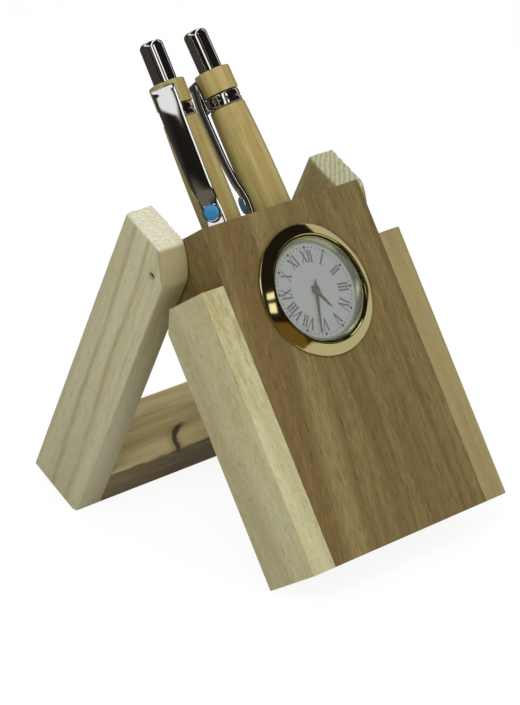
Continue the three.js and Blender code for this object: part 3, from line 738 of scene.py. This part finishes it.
def sawn_top(bm, low, high, ridge):
    """Cuts the arm's end into a fine grid and roughens it as a coarse saw leaves it."""
    across = int((high - low) / SAW_STEP) + 1
    back = round((ARM_FRONT - ARM_BACK) / SAW_STEP)
    cuts = [((0, ARM_TOP - SAWN_REACH, 0), (0, 1, 0))]
    cuts += [((low + SAW_STEP * step, 0, 0), (1, 0, 0)) for step in range(1, across)]
    cuts += [((0, 0, ARM_BACK + SAW_STEP * step), (0, 0, 1)) for step in range(1, back)]
    for point, normal in cuts:
        lowest = ARM_TOP - SAWN_REACH + 0.1
        near = [f for f in bm.faces if f.calc_center_median().y > lowest or normal[1]]
        edges = {e for f in near for e in f.edges}
        verts = {v for f in near for v in f.verts}
        bmesh.ops.bisect_plane(
            bm, geom=[*near, *edges, *verts], dist=1e-4, plane_co=point, plane_no=normal,
        )
    for vert in bm.verts:
        if vert.co.y > ARM_TOP - 0.35:
            spot = Vector((vert.co.x * ridge[0], 0, vert.co.z * ridge[1]))
            coarse = noise.noise(spot * 1.1)
            fine = noise.noise(Vector((vert.co.x, 5, vert.co.z)) * 2.3)
            vert.co.y += coarse * 0.42 + fine * 0.28 - 0.12
    return bm


for name, end, material, ridge in (
    ("left_arm", -1, left_arm_wood, (1.0, 1.0)), ("right_arm", 1, right_arm_wood, (0.9, 0.8)),
):
    low = -ARM_OUTER if end < 0 else ARM_INNER
    outline = [*arm_outline(), *arm_foot, (ARM_TOP, ARM_BACK)]
    inside, outside = ARM_INNER - 1, ARM_OUTER + 1
    hole = turned([(0, inside), (PIN_HOLE, inside), (PIN_HOLE, outside), (0, outside)], 32)
    bmesh.ops.transform(hole, matrix=Matrix.Rotation(-end * math.radians(90), 4, "Z"), verts=hole.verts)
    arm = ease(carved(extruded(outline, low, low + ARM_THICKNESS), [hole]), WOOD_EASE)
    arm = sawn_top(arm, low, low + ARM_THICKNESS, ridge)
    finished(arm, f"{name}_of_ash", rear, "rear_frame", material, replaces=[name])

crossbar_side = [
    (ARM_BOTTOM + CROSSBAR_HEIGHT, ARM_FRONT), *arm_foot, (ARM_BOTTOM + CROSSBAR_HEIGHT, ARM_BACK),
]
bar = ease(extruded(crossbar_side, -ARM_INNER, ARM_INNER), WOOD_EASE)
finished(bar, "crossbar_with_knot", rear, "rear_frame", tan_wood, replaces=["crossbar"])


# The clock

# From the back of the collar round the rim, over the crest and the step, and down inside
bezel_profile = [
    (COLLAR_INNER, -COLLAR_DEPTH), (COLLAR_RADIUS, -COLLAR_DEPTH), (COLLAR_RADIUS, 0.2), (17.7, 0.2),
    (17.93, 0.28), (BEZEL_RADIUS, 0.42), (17.98, 0.62), (17.88, 0.78), (17.7, 0.9), (15.15, 2.14),
    (15.0, 2.19), (14.88, 2.18), (14.8, 2.1), (14.76, 1.9), (14.68, 1.82), (14.5, 1.8), (14.25, 1.78),
    (14.08, 1.7), (14.0, 1.55), (13.95, 1.4), (13.95, 0.85), (13.35, 0.85), (12.9, -0.1),
    (COLLAR_INNER, -0.1),
]
finished(
    turned(bezel_profile, 160, "Z"), "bezel_ring", clock, "clock_insert", gold,
    smooth=24, replaces=["clock_bezel"],
)
wall_profile = [(13.94, 1.38), (13.9, 1.38), (13.3, 0.85), (12.88, -0.08), (13.0, -0.08), (13.94, 0.8)]
finished(turned(wall_profile, 128, "Z"), "inner_wall", clock, "clock_insert", olive_wall)

lens_profile = [(0, 1.05), (13.7, 1.05), (13.7, 1.5)]
for step in range(12, -1, -1):
    share = step / 12
    lens_profile.append((13.6 * share, 1.55 + 0.4 * (1 - share * share)))
finished(
    turned(lens_profile, 96, "Z"), "lens_dome", clock, "clock_insert", lens_clear,
    replaces=["clock_lens"],
)
dial_frame = clock @ Matrix.Rotation(-DIAL_TURN, 4, "Z")
dial = turned([
    (0.9, DIAL_FACE - 0.3), (DIAL_RADIUS, DIAL_FACE - 0.3), (DIAL_RADIUS, DIAL_FACE), (0.9, DIAL_FACE),
], 128, "Z")
finished(dial, "dial_plate", clock, "clock_insert", dial_paint, replaces=["clock_dial"])

LETTER_WIDTHS = {"I": 0.85, "V": 2.1, "X": 2.1}
# Each stroke's x at its foot, x at its head, and width
STROKES = {
    "I": ((0.42, 0.42, 0.52), ),
    "V": ((1.05, 0.35, 0.56), (1.05, 1.85, 0.28)),
    "X": ((1.75, 0.35, 0.56), (0.3, 1.8, 0.28)),
}
# Each serif's x, at the foot (0) or the head (1)
SERIFS = {
    "I": ((0.42, 0), (0.42, 1)),
    "V": ((0.35, 1), (1.85, 1)),
    "X": ((1.75, 0), (0.35, 1), (0.3, 0), (1.8, 1)),
}


def printed_bar(bm, place, low_x, high_x, width, low_y, high_y):
    """A thin printed stroke that leans from one x to another."""
    lift = DIAL_FACE + PRINT_DEPTH / 2
    stretch = Matrix((
        (width, high_x - low_x, 0, (low_x + high_x) / 2),
        (0, high_y - low_y, 0, (low_y + high_y) / 2),
        (0, 0, PRINT_DEPTH, lift),
        (0, 0, 0, 1),
    ))
    bmesh.ops.create_cube(bm, size=1, matrix=place @ stretch)


numerals = bmesh.new()
for hour, word in enumerate(("XII", "I", "II", "III", "IV", "V", "VI", "VII", "VIII", "IX", "X", "XI")):
    total = sum(LETTER_WIDTHS[letter] for letter in word)
    place = Matrix.Rotation(-math.radians(30 * hour), 4, "Z")
    place = place @ Matrix.Translation((-total / 2, NUMERAL_MIDDLE - NUMERAL_HEIGHT / 2, 0))
    for letter in word:
        for low_x, high_x, width in STROKES[letter]:
            printed_bar(numerals, place, low_x, high_x, width, 0, NUMERAL_HEIGHT)
        for x, level in SERIFS[letter]:
            y = level * (NUMERAL_HEIGHT - SERIF_HEIGHT)
            printed_bar(numerals, place, x, x, SERIF_WIDTH, y, y + SERIF_HEIGHT)
        place = place @ Matrix.Translation((LETTER_WIDTHS[letter], 0, 0))
finished(numerals, "dial_numerals", dial_frame, "clock_insert", print_ink)

dots = bmesh.new()
for minute in range(60):
    radius = HOUR_DOT if minute % 5 == 0 else MINUTE_DOT
    place = Matrix.Rotation(-math.radians(6 * minute), 4, "Z")
    place = place @ Matrix.Translation((0, DOT_RING, DIAL_FACE + PRINT_DEPTH / 2))
    bmesh.ops.create_cone(
        dots, cap_ends=True, segments=12, radius1=radius, radius2=radius, depth=PRINT_DEPTH,
        matrix=place,
    )
finished(dots, "dial_dots", dial_frame, "clock_insert", dot_ink)


def clock_hand(name, body, turn, length, tail, width, level, bore, replaces):
    """A thin tapered hand with a raised middle and a round hub."""
    bm = extruded([(-tail, 0), (-1.0, 0), (0, 0), (1.0, 0), (length, 0), (length, 0.1),
                   (1.0, 0.18), (0, 0.18), (-1.0, 0.18), (-tail, 0.12)], -0.5, 0.5)
    for vert in bm.verts:
        narrow = 0.26 if vert.co.y > length - 0.1 or vert.co.y < -tail + 0.1 else width
        vert.co.x *= narrow
    hub = turned([(bore, 0), (1.15, 0), (1.25, 0.06), (1.2, 0.16), (1.0, 0.22), (bore, 0.22)], 48, "Z")
    for part in (bm, hub):
        bmesh.ops.translate(part, verts=part.verts, vec=(0, 0, DIAL_FACE + level))
    place = dial_frame @ Matrix.Rotation(-math.radians(turn), 4, "Z")
    blade = carved(bm, [turned([(0, -2), (bore + 0.3, -2), (bore + 0.3, 2), (0, 2)], 32, "Z")])
    scratch = bpy.data.meshes.new("hub")
    hub.to_mesh(scratch)
    hub.free()
    blade.from_mesh(scratch)
    bpy.data.meshes.remove(scratch)
    return finished(blade, name, place, body, brass, replaces=replaces)


clock_hand(
    "hour_pointer", "hour_works", turn=141, length=6.2, tail=1.6, width=1.0,
    level=0.22, bore=0.86, replaces=["hour_hand"],
)
clock_hand(
    "minute_pointer", "minute_works", turn=189, length=11.7, tail=2.9, width=0.85,
    level=0.54, bore=0.4, replaces=["minute_hand"],
)


# The pens

def barrel_radius(height):
    """The barrel swells from both ends towards its widest place."""
    low, middle, high = BARREL_RADII
    end, radius = (BARREL_TOP, high) if height > BARREL_SWELL else (BARREL_BOTTOM, low)
    share = (height - BARREL_SWELL) / (end - BARREL_SWELL)
    return middle + (radius - middle) * share * share


def easy_path(points, steps=6):
    """A smooth line through the points."""
    path = []
    padded = [points[0], *points, points[-1]]
    for a, b, c, d in zip(padded, padded[1:], padded[2:], padded[3:]):
        for step in range(steps):
            t = step / steps
            path.append(tuple(
                0.5 * (2 * q + (r - p) * t + (2 * p - 5 * q + 4 * r - s) * t * t
                       + (3 * q - p - 3 * r + s) * t ** 3)
                for p, q, r, s in zip(a, b, c, d)
            ))
    return [*path, points[-1]]


def clip_mesh(tip):
    """A bent strip of sheet metal, from its foot in the neck ring over its crown and down to its tip."""
    path = easy_path([
        (NECK_RADIUS + 0.1, BARREL_TOP + 0.9), (5.4, BARREL_TOP + 0.95), (5.95, BARREL_TOP + 1.6),
        (6.0, 36.0), (6.05, 39.3), (6.25, 39.95), (6.6, 39.9), (6.8, 39.4), (7.15, 36.5), (7.5, 33.2),
        (7.6, 30.0), (7.6, 24.0), (7.5, 17.0), (7.0, 11.0), (6.5, tip + 7.8), (6.25, tip + 5.5),
        (6.35, tip + 3.0), (6.75, tip + 0.15),
    ])
    bm = bmesh.new()
    rows = 8
    here = path[0]
    edge = [
        bm.verts.new((CLIP_WIDTH * (row / rows - 0.5), here[1], here[0])) for row in range(rows + 1)
    ]
    edges = [bm.edges.new(pair) for pair in zip(edge, edge[1:])]
    for out, up in path[1:]:
        grown = bmesh.ops.extrude_edge_only(bm, edges=edges)
        verts = [v for v in grown["geom"] if isinstance(v, bmesh.types.BMVert)]
        edges = [e for e in grown["geom"] if isinstance(e, bmesh.types.BMEdge)]
        bmesh.ops.translate(bm, verts=verts, vec=(0, up - here[1], out - here[0]))
        here = (out, up)
    for vert in bm.verts:
        vert.co.x *= 1 + 0.16 * max(0.0, vert.co.y - 8) / 30
        if vert.co.y < 38.5:
            vert.co.z -= CLIP_CROWN * (2 * vert.co.x / CLIP_WIDTH) ** 2
    bmesh.ops.recalc_face_normals(bm, faces=bm.faces)
    bmesh.ops.solidify(bm, geom=bm.faces[:], thickness=CLIP_SHEET)
    return ease(bm, 0.12, 2, 50)


def pen_pieces(name, place):
    """All the pieces of one pen that stand for its nodes, and its button's enamel."""
    lean = PEN_LEAN if name == "right_pen" else 0.0
    tip = TIP_GAP + CLIP_REACH * math.tan(lean)
    turn = place @ Matrix.Rotation(-CLIP_TURNS[name], 4, "Y")

    def add(bm, piece, node, material, at=place, body=name, smooth=35):
        replaces = [f"{name}_{node}"] if node else ()
        return finished(bm, f"{name}_{piece}", at, body, material, smooth, replaces)

    steps = 40
    profile = [(BARREL_BORE, BARREL_BOTTOM)]
    for step in range(steps + 1):
        height = BARREL_BOTTOM + (BARREL_TOP - BARREL_BOTTOM) * step / steps
        profile.append((barrel_radius(height), height))
    profile[-1:] = rounded(0.25, BARREL_RADII[2], BARREL_TOP)
    profile.append((BARREL_BORE, BARREL_TOP))
    add(turned(profile), "bamboo_barrel", "barrel", bamboos[name])

    low, high = NECK_TOP + 0.15, RING_TOP
    ring = [
        (3.45, low), *rounded(0.3, RING_RADIUS, low, False),
        *rounded(0.45, RING_RADIUS, high), (3.45, high),
    ]
    add(turned(ring), "bamboo_ring", "upper_ring", bamboos[name])

    low, high = BARREL_TOP + 0.15, NECK_TOP - 0.15
    neck = [
        (BARREL_BORE, low), *rounded(0.3, NECK_RADIUS, low, False),
        (NECK_RADIUS, low + 1.2), (NECK_RADIUS - 0.22, low + 1.35), (NECK_RADIUS - 0.22, low + 1.6),
        (NECK_RADIUS, low + 1.75), *rounded(0.3, NECK_RADIUS, high), (BARREL_BORE, high),
    ]
    add(turned(neck), "chrome_neck", "neck_ring", chrome, smooth=50)
    add(clip_mesh(tip), "bent_clip", "clip", chrome, turn, smooth=50)

    cup = turned([
        (0, 0), (2.5, 0), (2.5, 0.25), (2.42, 0.42), (2.28, 0.5), (2.14, 0.48), (2.06, 0.4),
        (2.06, 0.3), (0, 0.3),
    ], 64, "Z")
    face = turned([(0, 0.31), (2.04, 0.31), (2.04, 0.42), (1.9, 0.5), (1.2, 0.6), (0, 0.66)], 64, "Z")
    for part in (cup, face):
        bmesh.ops.translate(part, verts=part.verts, vec=(0, tip + BUTTON_ABOVE_TIP, BUTTON_OUT))
    add(cup, "button_cup", "clip_button", chrome, turn)
    add(face, "button_enamel", None, enamel, turn)

    low = RING_TOP - 8
    knob = [
        (0, low), (2.2, low), (2.2, RING_TOP - 3.65), (CLICKER_RADIUS, RING_TOP - 2.6),
        (CLICKER_RADIUS, PEN_TOP - 1.6), *rounded(1.3, CLICKER_RADIUS, PEN_TOP - 0.15, steps=8),
        (1.2, PEN_TOP - 0.05), (0, PEN_TOP),
    ]
    clicker = name.replace("pen", "clicker")
    add(turned(knob), "push_button", "clicker", chrome, body=clicker, smooth=30)

    wire = coil(SPRING_RADIUS, SPRING_WIRE, SPRING_LOW, SPRING_HIGH, SPRING_TURNS)
    spring = add(wire, "coil_spring", "spring", steel, smooth=60)
    place @ Vector((0, SPRING_LOW - SPRING_WIRE, 0))
    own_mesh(spring)

    cone = [
        (0.7, NOSE_TIP), (1.15, NOSE_TIP), (1.3, NOSE_TIP + 0.15), (1.9, NOSE_TIP + 2.2),
        (2.6, NOSE_TIP + 4.4), (3.2, NOSE_TIP + 6.8), (3.65, NOSE_TIP + 9.0),
        (3.9, BARREL_BOTTOM - 0.5), (3.8, BARREL_BOTTOM - 0.3), (3.1, BARREL_BOTTOM - 0.3),
        (3.1, BARREL_BOTTOM + 5), (2.4, BARREL_BOTTOM + 5), (2.4, NOSE_TIP + 6.5),
        (1.3, NOSE_TIP + 6.5), (1.3, NOSE_TIP + 1.1), (0.7, NOSE_TIP + 1.1),
    ]
    add(turned(cone), "turned_nose", "nose_cone", chrome, smooth=50)


for name, place in pens.items():
    pen_pieces(name, place)


# CAD pieces that keep their own shape

for node, material in {
    "left_pivot_pin": steel, "right_pivot_pin": steel, "clock_housing": black_plastic,
    "clock_grip_ring": rubber, "clock_movement": grey_plastic, "clock_battery": steel,
    "clock_battery_cover": black_plastic, "hour_pipe": brass, "minute_arbor": brass,
    "setting_knob": black_plastic,
    **{f"{pen}_{part}": finish for pen in pens for part, finish in (
        ("cam_sleeve", black_plastic), ("cam_rotor", grey_plastic), ("refill", steel),
    )},
}.items():
    mesh = frame["nodes"][node].data
    mesh.materials.clear()
    mesh.materials.append(material)


# The camera stands where the photograph was taken from

AZIMUTH, ELEVATION, ROLL = math.radians(40.899), math.radians(21.085), math.radians(-2.650)
CAMERA_PLACE = Vector((-454.05, -523.86, 314.10)) * MM
PICTURE_HEIGHT = 705
FOCAL_LENGTH = 2756 / PICTURE_HEIGHT
SENSOR = 36
forward = Vector((
    math.sin(AZIMUTH) * math.cos(ELEVATION),
    math.cos(AZIMUTH) * math.cos(ELEVATION),
    -math.sin(ELEVATION),
))
level_right = Vector((math.cos(AZIMUTH), -math.sin(AZIMUTH), 0))
level_up = level_right.cross(forward)
right = level_right * math.cos(ROLL) + level_up * math.sin(ROLL)
up = level_up * math.cos(ROLL) - level_right * math.sin(ROLL)
camera_data = bpy.data.cameras.new("camera")
camera_data.sensor_fit, camera_data.sensor_height = "VERTICAL", SENSOR
camera_data.lens = FOCAL_LENGTH * SENSOR
camera_data.clip_start, camera_data.clip_end = 0.01, 50
camera = bpy.data.objects.new("camera", camera_data)
view = Matrix((right, up, -forward)).transposed().to_4x4()
camera.matrix_world = Matrix.Translation(CAMERA_PLACE) @ view
bpy.context.scene.collection.objects.link(camera)
bpy.context.scene.camera = camera


# The floor, the world and the lamps

FLOOR_RADIUS = 4.0
FLOOR_GLOW = 1.1
FLOOR_GLOW_SHARE = 0.82
WHITE = (1.0, 1.0, 1.0, 1.0)

floor_bm = bmesh.new()
bmesh.ops.create_circle(floor_bm, cap_ends=True, segments=96, radius=FLOOR_RADIUS)
floor_mesh = bpy.data.meshes.new("floor")
floor_bm.to_mesh(floor_mesh)
floor_bm.free()
floor = bpy.data.objects.new("floor", floor_mesh)
bpy.context.scene.collection.objects.link(floor)
floor.visible_glossy = False
pale = Finish("pale_floor", roughness=0.9, metallic=0.0, base_color=tint(236, 236, 236))
rays = pale.node("ShaderNodeLightPath")
seen = Level(pale, rays.outputs["Is Camera Ray"])
glow = pale.node("ShaderNodeEmission", sockets={"Color": WHITE, "Strength": FLOOR_GLOW})
blended = pale.node("ShaderNodeMixShader", sockets={
    0: seen * FLOOR_GLOW_SHARE, 1: pale.shader.outputs[0], 2: glow.outputs[0],
})
pale.tree.links.new(blended.outputs[0], pale.output.inputs["Surface"])
floor_mesh.materials.append(pale.material)


class Sky(Finish):
    """The world's nodes."""

    def __init__(self):
        world = bpy.data.worlds.new("studio")
        world.use_nodes = True
        bpy.context.scene.world = world
        self.tree = world.node_tree
        self.tree.nodes.clear()


sky = Sky()
rays = sky.node("ShaderNodeLightPath")
camera_ray = Level(sky, rays.outputs["Is Camera Ray"])
glossy_ray = Level(sky, rays.outputs["Is Glossy Ray"])
direction = sky.node("ShaderNodeTexCoord").outputs["Generated"]


def towards(way):
    """How far a reflected ray runs a given way."""
    return Level(sky, sky.node(
        "ShaderNodeVectorMath", {"operation": "DOT_PRODUCT"}, {0: direction, 1: Vector(way).normalized()},
    ).outputs["Value"])


def between(value, low, high, blur):
    """One between two levels, with soft ends, and nought outside."""
    return sky.smooth(value, low - blur, low + blur) * sky.smooth(value, high + blur, high - blur)


# What chrome and gold reflect: fields of plain light, fixed in the world, on a dark one
ROOM = (0.5, 0.5, 0.5, 1.0)
DARK_FIELD = (0.012, 0.010, 0.009, 1.0)
BROWN_FIELD = (0.16, 0.10, 0.03, 1.0)
DUSK_FIELD = (0.052, 0.044, 0.038, 1.0)
TAUPE_FIELD = (0.15, 0.13, 0.095, 1.0)
LIT_FIELD = (0.58, 0.58, 0.56, 1.0)
CARD_FIELD = (1.3, 1.3, 1.25, 1.0)
LIT_WAY = (0.61, 0.16, -0.776)

side, height = towards(level_right), towards((0, 0, 1))
behind = towards((forward.x, forward.y, 0))
lit = sky.smooth(towards(LIT_WAY), -0.012, 0.012) * sky.smooth(side, -0.05, 0.08)
lit_corner = sky.smooth(side, 0.75, 0.81) * sky.smooth(height, -0.08, 0.0)
lit = lit * (1 - lit_corner) * sky.smooth(behind, 0.78, 0.70)
lit_sky = between(height, 0.42, 0.66, 0.025) * sky.smooth(side, -0.30, -0.38)
tall_card = between(side, -0.12, 0.08, 0.02) * sky.smooth(height, 0.22, 0.26)
tall_card = tall_card * sky.smooth(behind, 0.97, 0.90)
low_card = between(height, 0.43, 0.55, 0.006) * between(side, 0.28, 0.43, 0.012)
high_card = between(height, 0.60, 0.665, 0.006) * between(side, 0.26, 0.43, 0.012)
cards = tall_card + low_card + high_card
brown = sky.smooth(height, 0.32, 0.26) * between(side, 0.30, 0.76, 0.03)
taupe = sky.smooth(height, 0.20, 0.06) * between(side, -0.5, 0.0, 0.06)
dusk = sky.smooth(side, -0.5, -0.7)
mirror = sky.mix(brown, DARK_FIELD, BROWN_FIELD)
for share, field in (
    (dusk, DUSK_FIELD), (taupe, TAUPE_FIELD), (lit, LIT_FIELD), (lit_sky, WHITE), (cards, CARD_FIELD),
):
    mirror = sky.mix(share, mirror, field)
plain = sky.mix(glossy_ray, ROOM, mirror)
shown = sky.mix(camera_ray, plain, WHITE)
background = sky.node("ShaderNodeBackground", sockets={"Color": shown, "Strength": 1.0})
sky.node("ShaderNodeOutputWorld", sockets={"Surface": background.outputs[0]})


def lamp(name, place, size, power):
    """A soft square lamp that looks at the stand."""
    data = bpy.data.lights.new(name, "AREA")
    data.shape, data.size, data.energy = "SQUARE", size, power
    data.cycles.use_multiple_importance_sampling = True
    made = bpy.data.objects.new(name, data)
    made.location = place
    made.rotation_euler = (Vector((0, 0, 0.06)) - Vector(place)).to_track_quat("-Z", "Y").to_euler()
    made.visible_glossy = False
    bpy.context.scene.collection.objects.link(made)
    return made


lamp("key", (-0.7, -0.6, 1.0), 0.5, 5.6)
lamp("front", (0.1, -1.2, 0.5), 0.6, 4.0)

bpy.context.scene.view_settings.view_transform = "Standard"
